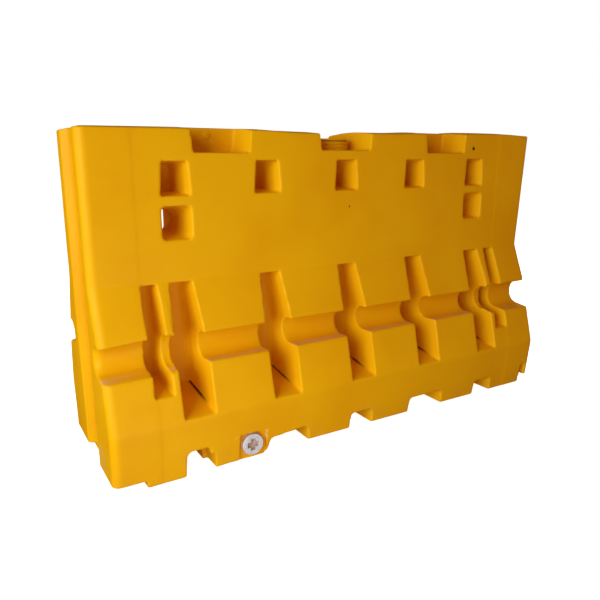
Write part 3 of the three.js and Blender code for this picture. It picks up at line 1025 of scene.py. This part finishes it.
def mark_edges(mesh):
    """Stores how far each vertex is on a ridge, above 0, or in a crease, below 0."""
    points = positions(mesh).astype(float)
    normals = vertex_normals(mesh)
    first, second = edge_ends(mesh)
    count = len(points)
    middle = np.stack([neighbour_mean(points[:, k], first, second, count) for k in range(3)], 1)
    squared = ((points[first] - points[second]) ** 2).sum(1)
    spread = np.bincount(first, squared, count) + np.bincount(second, squared, count)
    spread /= edge_counts(first, second, count)
    bend = ((points - middle) * normals).sum(1) / np.maximum(spread, 1e-8)
    for _ in range(2):
        bend = 0.5 * bend + 0.5 * neighbour_mean(bend, first, second, count)
    attribute = mesh.attributes.new("bend", "FLOAT", "POINT")
    attribute.data.foreach_set("value", (bend * EDGE_ROUNDING).astype(np.float32))


# ---- material building blocks


class Nodes:
    """Shorthand for making a node material. Values passed in are numbers, tuples or sockets."""

    def __init__(self, name):
        self.material = bpy.data.materials.new(name)
        self.material.use_nodes = True
        self.tree = self.material.node_tree
        self.tree.nodes.clear()
        self.place = self.add("ShaderNodeTexCoord").outputs["Object"]
        geometry = self.add("ShaderNodeNewGeometry")
        self.normal = self.split(geometry.outputs["Normal"])
        self.at = self.split(self.place)

    def add(self, kind, **settings):
        node = self.tree.nodes.new(kind)
        for key, value in settings.items():
            setattr(node, key, value)
        return node

    def feed(self, socket, value):
        if isinstance(value, bpy.types.NodeSocket):
            self.tree.links.new(value, socket)
        else:
            socket.default_value = value

    def split(self, vector):
        node = self.add("ShaderNodeSeparateXYZ")
        self.feed(node.inputs[0], vector)
        return node.outputs

    def math(self, operation, first, second=0.0):
        node = self.add("ShaderNodeMath", operation=operation)
        self.feed(node.inputs[0], first)
        self.feed(node.inputs[1], second)
        return node.outputs[0]

    def plus(self, first, second):
        return self.math("ADD", first, second)

    def minus(self, first, second):
        return self.math("SUBTRACT", first, second)

    def most(self, first, second):
        return self.math("MAXIMUM", first, second)

    def away(self, value, centre=0.0):
        """How far a value is from a centre, on either side."""
        return self.math("ABSOLUTE", self.minus(value, centre))

    def length(self, first, second):
        """The length of the long side of a right triangle, from the other two."""
        return self.math("SQRT", self.plus(self.times(first, first), self.times(second, second)))

    def times(self, *values):
        product = values[0]
        for value in values[1:]:
            product = self.math("MULTIPLY", product, value)
        return product

    def step(self, value, low, high):
        """From 0 where the value is at low, smoothly, to 1 where it is at high."""
        node = self.add("ShaderNodeMapRange", interpolation_type="SMOOTHSTEP")
        self.feed(node.inputs["Value"], value)
        self.feed(node.inputs["From Min"], low)
        self.feed(node.inputs["From Max"], high)
        return node.outputs["Result"]

    def between(self, value, low, high, soft):
        above = self.step(value, low - soft, low + soft)
        return self.times(above, self.step(value, high + soft, high - soft))

    def blend(self, amount, first, second):
        node = self.add("ShaderNodeMix", data_type="RGBA")
        self.feed(node.inputs[0], amount)
        self.feed(node.inputs[6], first)
        self.feed(node.inputs[7], second)
        return node.outputs[2]

    def grain(self, scale, detail=2.0, stretch=(1.0, 1.0, 1.0), shift=0.0, distortion=0.0):
        """Noise from 0 to 1, with features about 1 / scale metres across."""
        mapping = self.add("ShaderNodeMapping")
        self.feed(mapping.inputs["Vector"], self.place)
        self.feed(mapping.inputs["Scale"], stretch)
        self.feed(mapping.inputs["Location"], (shift, shift, shift))
        node = self.add("ShaderNodeTexNoise")
        self.feed(node.inputs["Vector"], mapping.outputs[0])
        self.feed(node.inputs["Scale"], scale)
        self.feed(node.inputs["Detail"], detail)
        self.feed(node.inputs["Distortion"], distortion)
        return node.outputs[0]

    def cloud(self, scale, detail, low, high, **placing):
        """Noise that rises smoothly from 0 to 1 between two of its values."""
        return self.step(self.grain(scale, detail, **placing), low, high)

    def attribute(self, name):
        return self.add("ShaderNodeAttribute", attribute_name=name).outputs["Fac"]

    def bump(self, height, distance, strength=1.0, normal=None):
        node = self.add("ShaderNodeBump")
        self.feed(node.inputs["Height"], height)
        self.feed(node.inputs["Distance"], distance)
        self.feed(node.inputs["Strength"], strength)
        if normal:
            self.feed(node.inputs["Normal"], normal)
        return node.outputs[0]

    def patch(self, x, z, half_x, half_z, rough=0.0):
        """A soft-edged ellipse on the front or back, from 0 outside it to 1 inside."""
        across = self.math("DIVIDE", self.minus(self.at[0], x), half_x)
        up = self.math("DIVIDE", self.minus(self.at[2], z), half_z)
        squared = self.plus(self.times(across, across), self.times(up, up))
        ragged_edge = self.plus(squared, self.times(self.grain(220.0), rough))
        return self.step(ragged_edge, 1.3, 0.5)

    def finished(self, colour, roughness, normal, **extra):
        shader = self.add("ShaderNodeBsdfPrincipled")
        self.feed(shader.inputs["Base Color"], colour)
        self.feed(shader.inputs["Roughness"], roughness)
        self.feed(shader.inputs["Normal"], normal)
        for key, value in extra.items():
            self.feed(shader.inputs[key.replace("_", " ")], value)
        output = self.add("ShaderNodeOutputMaterial")
        self.feed(output.inputs["Surface"], shader.outputs[0])
        return self.material


# ---- materials

DEEP_YELLOW = (0.90, 0.460, 0.002, 1)
PALE_YELLOW = (0.95, 0.530, 0.003, 1)
WORN_YELLOW = (0.96, 0.62, 0.03, 1)
# Pale colour: painted sheen on the groove lips and a real rub on the left end face
SCUFF_AND_SHEEN = (0.80, 0.50, 0.27, 1)
# Pale cut colour: burrs, and the drain pad's right wall, which is partly painted light
FRESH_CUT_AND_LIT = (0.93, 0.76, 0.36, 1)
DUST = (0.55, 0.27, 0.05, 1)
# Dark colour: painted shade in the slot creases, and dirt, rust and a gouge elsewhere
DIRT_AND_SHADE = (0.07, 0.022, 0.004, 1)
WHITE = (0.76, 0.82, 0.92, 1)
GREY_WHITE = (0.63, 0.68, 0.76, 1)
# Brownish colour: grime, and painted shade in the drain plug's wrench recess
GRIME_AND_SHADE = (0.46, 0.27, 0.19, 1)
TAN = (0.62, 0.33, 0.15, 1)
PALE_TAN = (0.74, 0.46, 0.25, 1)
RUBBER = (0.035, 0.033, 0.032, 1)
GREY_RUBBER = (0.085, 0.08, 0.075, 1)
FLOOR_WHITE = (0.95, 0.95, 0.95, 1)
FLOOR_GREY = (0.92, 0.92, 0.92, 1)


def ground_dirt(m):
    """Splashes near the ground, thickest on the feet."""
    low = m.step(m.at[2], 0.17, 0.0)
    return m.times(low, low, m.cloud(11.0, 6.0, 0.42, 0.68))


def ledge_dust(m):
    """Dust that lies on the top and on the floors of its recesses."""
    level = m.step(m.normal[2], 0.90, 0.995)
    high = m.step(m.at[2], 0.90, 0.93)
    return m.times(level, high, m.cloud(7.0, 5.0, 0.25, 0.7, shift=3.0))


def crease_shade(m):
    """Painted shade: a dark line where the sloping floor of a main slot meets its side walls."""
    front_z, back_z = MAIN_FLOOR
    out = m.minus(m.away(m.at[1]), SLOT_BACK_Y)
    depth = m.math("DIVIDE", out, FLARE_Y - SLOT_BACK_Y)
    phase = m.math("FLOORED_MODULO", m.plus(m.at[0], 2.5 * PITCH), PITCH)
    wall = m.plus(m.times(depth, CREASE_FRONT_HALF - CREASE_BACK_HALF), CREASE_BACK_HALF)
    floor_z = m.plus(m.times(depth, front_z - back_z), back_z)
    from_wall = m.minus(m.away(phase, PITCH / 2), wall)
    gap = m.length(from_wall, m.minus(m.at[2], floor_z))
    line = m.step(gap, CREASE_DEPTH * 0.95, CREASE_DEPTH * 0.45)
    inside = m.step(depth, 0.80, 0.45)
    broken = m.cloud(16.0, 3.0, 0.22, 0.42)
    return m.times(line, inside, broken, m.step(m.away(m.at[0]), 0.70, 0.69))


def lip_sheen(m):
    """Painted reflection: pale streaks along the lower lips of the rail grooves, standing in for the
    grazing sheen of their rounded edges.
    """
    out = m.between(m.away(m.at[1]), 198 * MM, 233 * MM, 6 * MM)
    on_lip = m.times(out, m.between(m.at[2], 335 * MM, 368 * MM, 4 * MM))
    along = m.cloud(5.0, 4.0, 0.40, 0.58, stretch=(1.0, 8.0, 8.0), shift=1.7)
    return m.times(on_lip, along, m.step(m.normal[2], 0.25, 0.6))


def pocket_dirt(m):
    """Dark specks on the floors of the upper pockets, at their backs."""
    low = m.step(m.at[2], 884 * MM, 874 * MM)
    deep = m.step(m.away(m.at[1]), 52 * MM, 34 * MM)
    above_holes = m.step(m.at[2], 855 * MM, 860 * MM)
    return m.times(low, deep, above_holes, m.cloud(70.0, 4.0, 0.50, 0.58))


def end_scuff(m):
    """A whitish rub low on the left end face."""
    on_end = m.step(m.at[0], -LENGTH / 2 + 4 * MM, -LENGTH / 2 + 1 * MM)
    across = m.between(m.at[1], -0.170, -0.124, 0.012)
    up = m.between(m.at[2], 0.035, 0.105, 0.025)
    return m.times(on_end, across, up, m.cloud(24.0, 5.0, 0.30, 0.55))


def front_marks(m):
    """The dark rust round the stray hole and a small gouge, both on the front."""
    front = m.step(m.normal[1], -0.2, -0.6)
    rust = m.patch(NAIL_X, NAIL_Z, 8.5 * MM, 8.5 * MM, 0.5)
    streak = m.patch(NAIL_X - 7 * MM, NAIL_Z + 9 * MM, 7 * MM, 6 * MM, 1.4)
    gouge = m.patch(13 * MM, 808 * MM, 3 * MM, 5 * MM, 0.5)
    both = m.most(rust, m.times(streak, 0.6))
    upper = m.step(m.at[1], -0.10, -0.13)
    stained = m.times(both, m.step(m.at[1], -0.12, -0.13))
    return m.times(upper, m.most(stained, m.times(front, gouge)))


def pad_marks_and_light(m):
    """Where the drain pad was cut: a pale fresh wall at its right, partly its cut colour and partly
    painted light, and burrs along its edges.
    """
    left = DRAIN.x - PAD_HALF
    right = DRAIN.x + PAD_HALF
    near = m.times(m.between(m.at[2], 0.0, PAD_TOP, 3 * MM), m.step(m.at[1], -0.245, -0.2515))
    by_right = m.between(m.at[0], right, right + 2 * MM, 0.8 * MM)
    # The pale right wall: fresh-cut colour plus painted light falling on it
    lit_fresh_wall = m.times(by_right, m.between(m.at[2], 47 * MM, 87 * MM, 2 * MM), 0.8)
    from_edge = m.math("MINIMUM", m.away(m.at[0], left), m.away(m.at[2], PAD_TOP))
    by_edge = m.step(from_edge, 2.2 * MM, 0.8 * MM)
    beside = m.between(m.at[0], left, right, 3 * MM)
    burrs = m.times(by_edge, beside, m.cloud(330.0, 2.0, 0.52, 0.60), 0.7)
    return m.times(near, m.most(lit_fresh_wall, burrs))


def moulded_yellow(name, shift, weathered):
    """Rotationally moulded polyethylene: mottled, satin, a little rippled, rubbed at its edges."""
    m = Nodes(name)
    mottle = m.cloud(3.2, 3.0, 0.30, 0.70, shift=shift)
    colour = m.blend(mottle, DEEP_YELLOW, PALE_YELLOW)
    speck = m.cloud(420.0, 2.0, 0.62, 0.80, shift=shift)
    colour = m.blend(m.times(speck, 0.22), colour, WORN_YELLOW)
    bend = m.attribute("bend")
    worn = m.times(m.step(bend, 0.35, 1.3), m.cloud(14.0, 6.0, 0.36, 0.62, shift=shift))
    colour = m.blend(m.times(worn, 0.45), colour, WORN_YELLOW)
    dull = m.times(m.grain(26.0, 5.0, shift=shift), 0.16)
    if weathered:
        # Painted reflection on the groove lips, and a real whitish rub on the left end face
        sheen_and_scuffs = m.most(m.times(lip_sheen(m), 0.62), m.times(end_scuff(m), 0.5))
        colour = m.blend(sheen_and_scuffs, colour, SCUFF_AND_SHEEN)
        colour = m.blend(m.times(ledge_dust(m), 0.35), colour, DUST)
        colour = m.blend(m.times(ground_dirt(m), 0.14), colour, DUST)
        # Painted shade: darkens the line where each main slot's floor meets its side walls
        colour = m.blend(m.times(crease_shade(m), 0.85), colour, DIRT_AND_SHADE)
        colour = m.blend(m.times(pocket_dirt(m), 0.45), colour, DIRT_AND_SHADE)
        colour = m.blend(front_marks(m), colour, DIRT_AND_SHADE)
        # Burrs, and the pad's right wall painted pale, partly as painted light
        colour = m.blend(pad_marks_and_light(m), colour, FRESH_CUT_AND_LIT)
        dull = m.plus(dull, m.times(ledge_dust(m), 0.12))
        dull = m.minus(dull, m.times(sheen_and_scuffs, 0.12))
    creased = m.step(bend, -0.2, -1.0)
    roughness = m.plus(m.plus(dull, m.times(creased, 0.45)), 0.36)
    peel = m.bump(m.grain(330.0, 3.0, shift=shift), 0.25 * MM, 0.35)
    swell = m.bump(m.grain(28.0, 2.0, shift=shift), 0.9 * MM, 0.30, peel)
    return m.finished(colour, roughness, swell, Specular_IOR_Level=0.12)


def plain_white():
    """The drain plug: white polyethylene with painted shade in its wrench recess, grime smears and fine
    turning marks.
    """
    m = Nodes("plug_white")
    colour = m.blend(m.cloud(90.0, 4.0, 0.35, 0.7), WHITE, GREY_WHITE)
    deep = m.step(m.at[1], HEAD_LOW.y + 1.0 * MM, HEAD_LOW.y + 3.5 * MM)
    reach = m.length(m.minus(m.at[0], DRAIN.x), m.minus(m.at[2], DRAIN.z))
    inside = m.step(reach, 30 * MM, 27 * MM)
    patchy = m.plus(m.times(m.cloud(110.0, 3.0, 0.35, 0.65), 0.45), 0.5)
    # Painted shade: darker, warmer colour down inside the wrench recess
    colour = m.blend(m.times(deep, inside, patchy), colour, GRIME_AND_SHADE)
    smears = m.cloud(60.0, 6.0, 0.56, 0.74, shift=2.0)
    colour = m.blend(m.times(smears, 0.25), colour, GRIME_AND_SHADE)
    worn = m.step(m.attribute("bend"), 0.3, 1.2)
    roughness = m.plus(m.times(m.grain(150.0, 4.0), 0.2), m.plus(m.times(worn, 0.1), 0.25))
    rings = m.math("SINE", m.times(reach, 2 * math.pi / (1.6 * MM)))
    turning = m.bump(rings, 0.05 * MM, 0.35)
    return m.finished(colour, roughness, m.bump(m.grain(400.0), 0.1 * MM, 0.3, turning))


def tan_nylon():
    m = Nodes("bushing_tan")
    colour = m.blend(m.cloud(60.0, 4.0, 0.3, 0.7), TAN, PALE_TAN)
    colour = m.blend(m.times(m.cloud(130.0, 5.0, 0.55, 0.72, shift=4.0), 0.5), colour, GRIME_AND_SHADE)
    roughness = m.plus(m.times(m.grain(180.0, 4.0), 0.2), 0.38)
    return m.finished(colour, roughness, m.bump(m.grain(500.0, 3.0), 0.1 * MM, 0.4))


def black_rubber():
    m = Nodes("gasket_black")
    bloom = m.cloud(70.0, 5.0, 0.45, 0.75)
    colour = m.blend(bloom, RUBBER, GREY_RUBBER)
    roughness = m.plus(m.times(bloom, 0.18), 0.62)
    return m.finished(colour, roughness, m.bump(m.grain(700.0, 3.0), 0.1 * MM, 0.5))


def floor_paint():
    m = Nodes("floor_white")
    shade = m.cloud(0.6, 3.0, 0.3, 0.7)
    colour = m.blend(m.times(shade, 0.15), FLOOR_WHITE, FLOOR_GREY)
    normal = m.bump(m.grain(40.0, 3.0), 0.2 * MM, 0.1)
    glow = {"Emission_Color": FLOOR_WHITE, "Emission_Strength": 1.0}
    return m.finished(colour, 0.8, normal, Specular_IOR_Level=0.1, **glow)


def backdrop_paint():
    m = Nodes("backdrop_white")
    glow = {"Emission_Color": (1, 1, 1, 1), "Emission_Strength": 1.0}
    return m.finished((0, 0, 0, 1), 1.0, m.bump(m.grain(1.0), 0.0), Specular_IOR_Level=0.0, **glow)


# ---- pieces in place


def smooth_shaded(mesh):
    mesh.polygons.foreach_set("use_smooth", [True] * len(mesh.polygons))
    mesh.set_sharp_from_angle(angle=SHARP_ANGLE)


def piece(name, mesh, material, body, node):
    mesh.name = name
    mesh.materials.clear()
    mesh.materials.append(material)
    mark_edges(mesh)
    smooth_shaded(mesh)
    made = new_object(name, mesh)
    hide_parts(node)
    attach(made, body)
    return made


def place_pieces():
    shell_yellow = moulded_yellow("shell_yellow", 0.0, True)
    plug_yellow = moulded_yellow("plug_yellow", 6.0, False)
    rubber = black_rubber()
    piece("barrier_body", barrier_shell(), shell_yellow, "barrier", "barrier_shell")
    piece("filler_cap", filler_cap(), plug_yellow, "filler_cap", "filler_plug")
    piece("filler_seal_ring", filler_seal(), rubber, "filler_seal", "filler_gasket")
    piece("drain_bush", drain_bush(), tan_nylon(), "barrier", "drain_bushing")
    piece("drain_seal_ring", drain_seal(), rubber, "drain_seal", "drain_gasket")
    piece("drain_cap", drain_cap(), plain_white(), "drain_cap", "drain_plug")
    piece("vent_cap", vent_cap(), plug_yellow, "barrier", "vent_plug")


# ---- camera, floor and light

CAMERA_PLACE = (-1.2426, -1.9106, 0.9783)
CAMERA_AZIMUTH = math.radians(30.68)
CAMERA_DIP = math.radians(13.5)
CAMERA_ROLL = math.radians(-0.18)
CAMERA_LENS = 35.52
FLOOR_SIZE = 60.0
WARM_FILL = (1.0, 0.47, 0.24, 1)
KEY_COLOUR = (0.93, 1.0, 0.94)
FLOOR_HEIGHT = -FOOT_SAG - 0.9 * MM


def camera():
    data = bpy.data.cameras.new("camera")
    data.lens = CAMERA_LENS
    data.sensor_width = 36
    made = new_object("camera", data)
    azimuth, dip = CAMERA_AZIMUTH, CAMERA_DIP
    forward = Vector(
        (math.sin(azimuth) * math.cos(dip), math.cos(azimuth) * math.cos(dip), -math.sin(dip))
    )
    level_right = Vector((math.cos(azimuth), -math.sin(azimuth), 0))
    level_up = level_right.cross(forward)
    right = level_right * math.cos(CAMERA_ROLL) + level_up * math.sin(CAMERA_ROLL)
    up = right.cross(forward)
    made.matrix_world = Matrix.Translation(CAMERA_PLACE) @ Matrix(
        (right, up, -forward)
    ).transposed().to_4x4()
    bpy.context.scene.camera = made


def soft_light(name, place, target, size, power, colour=(1.0, 1.0, 1.0), shine=True):
    data = bpy.data.lights.new(name, "AREA")
    data.shape = "SQUARE"
    data.size = size
    data.energy = power
    data.color = colour
    made = new_object(name, data)
    made.location = place
    made.rotation_euler = (Vector(target) - Vector(place)).to_track_quat("-Z", "Y").to_euler()
    made.visible_camera = False
    made.visible_glossy = shine


def studio_light(strength):
    """Even warm light from every side."""
    world = bpy.data.worlds.new("studio")
    world.use_nodes = True
    light = world.node_tree.nodes["Background"]
    light.inputs["Color"].default_value = WARM_FILL
    light.inputs["Strength"].default_value = strength
    world.cycles_visibility.glossy = False
    bpy.context.scene.world = world


def for_camera_only(made):
    """Keeps a backdrop out of the light that falls on the barrier."""
    made.visible_diffuse = False
    made.visible_glossy = False
    made.visible_shadow = False


def floor():
    mesh = bpy.data.meshes.new("floor")
    half = FLOOR_SIZE / 2
    corners = [(-half, -half), (half, -half), (half, half), (-half, half)]
    mesh.from_pydata([(x, y, FLOOR_HEIGHT) for x, y in corners], [], [(0, 1, 2, 3)])
    mesh.materials.append(floor_paint())
    for_camera_only(new_object("floor", mesh))


def backdrop():
    """A white dome far behind the floor."""
    bpy.ops.mesh.primitive_uv_sphere_add(segments=48, ring_count=24, radius=FLOOR_SIZE / 2)
    made = bpy.context.object
    made.name = "backdrop"
    made.data.materials.append(backdrop_paint())
    for_camera_only(made)


def studio():
    camera()
    floor()
    backdrop()
    studio_light(0.27)
    soft_light("key", (-3.9, -2.3, 1.5), (-0.3, -0.2, 0.40), 2.6, 128, KEY_COLOUR)
    soft_light("side", (-2.5, -0.3, 0.9), (-0.9, 0.0, 0.5), 1.2, 5)
    soft_light("bounce", (-0.7, -1.3, -0.05), (-0.4, 0.0, 0.4), 1.0, 4)
    soft_light("rear", (2.2, 3.4, 1.6), (0.2, 0.1, 0.5), 2.4, 120, shine=False)
    bpy.context.scene.view_settings.view_transform = "Standard"


place_pieces()
studio()
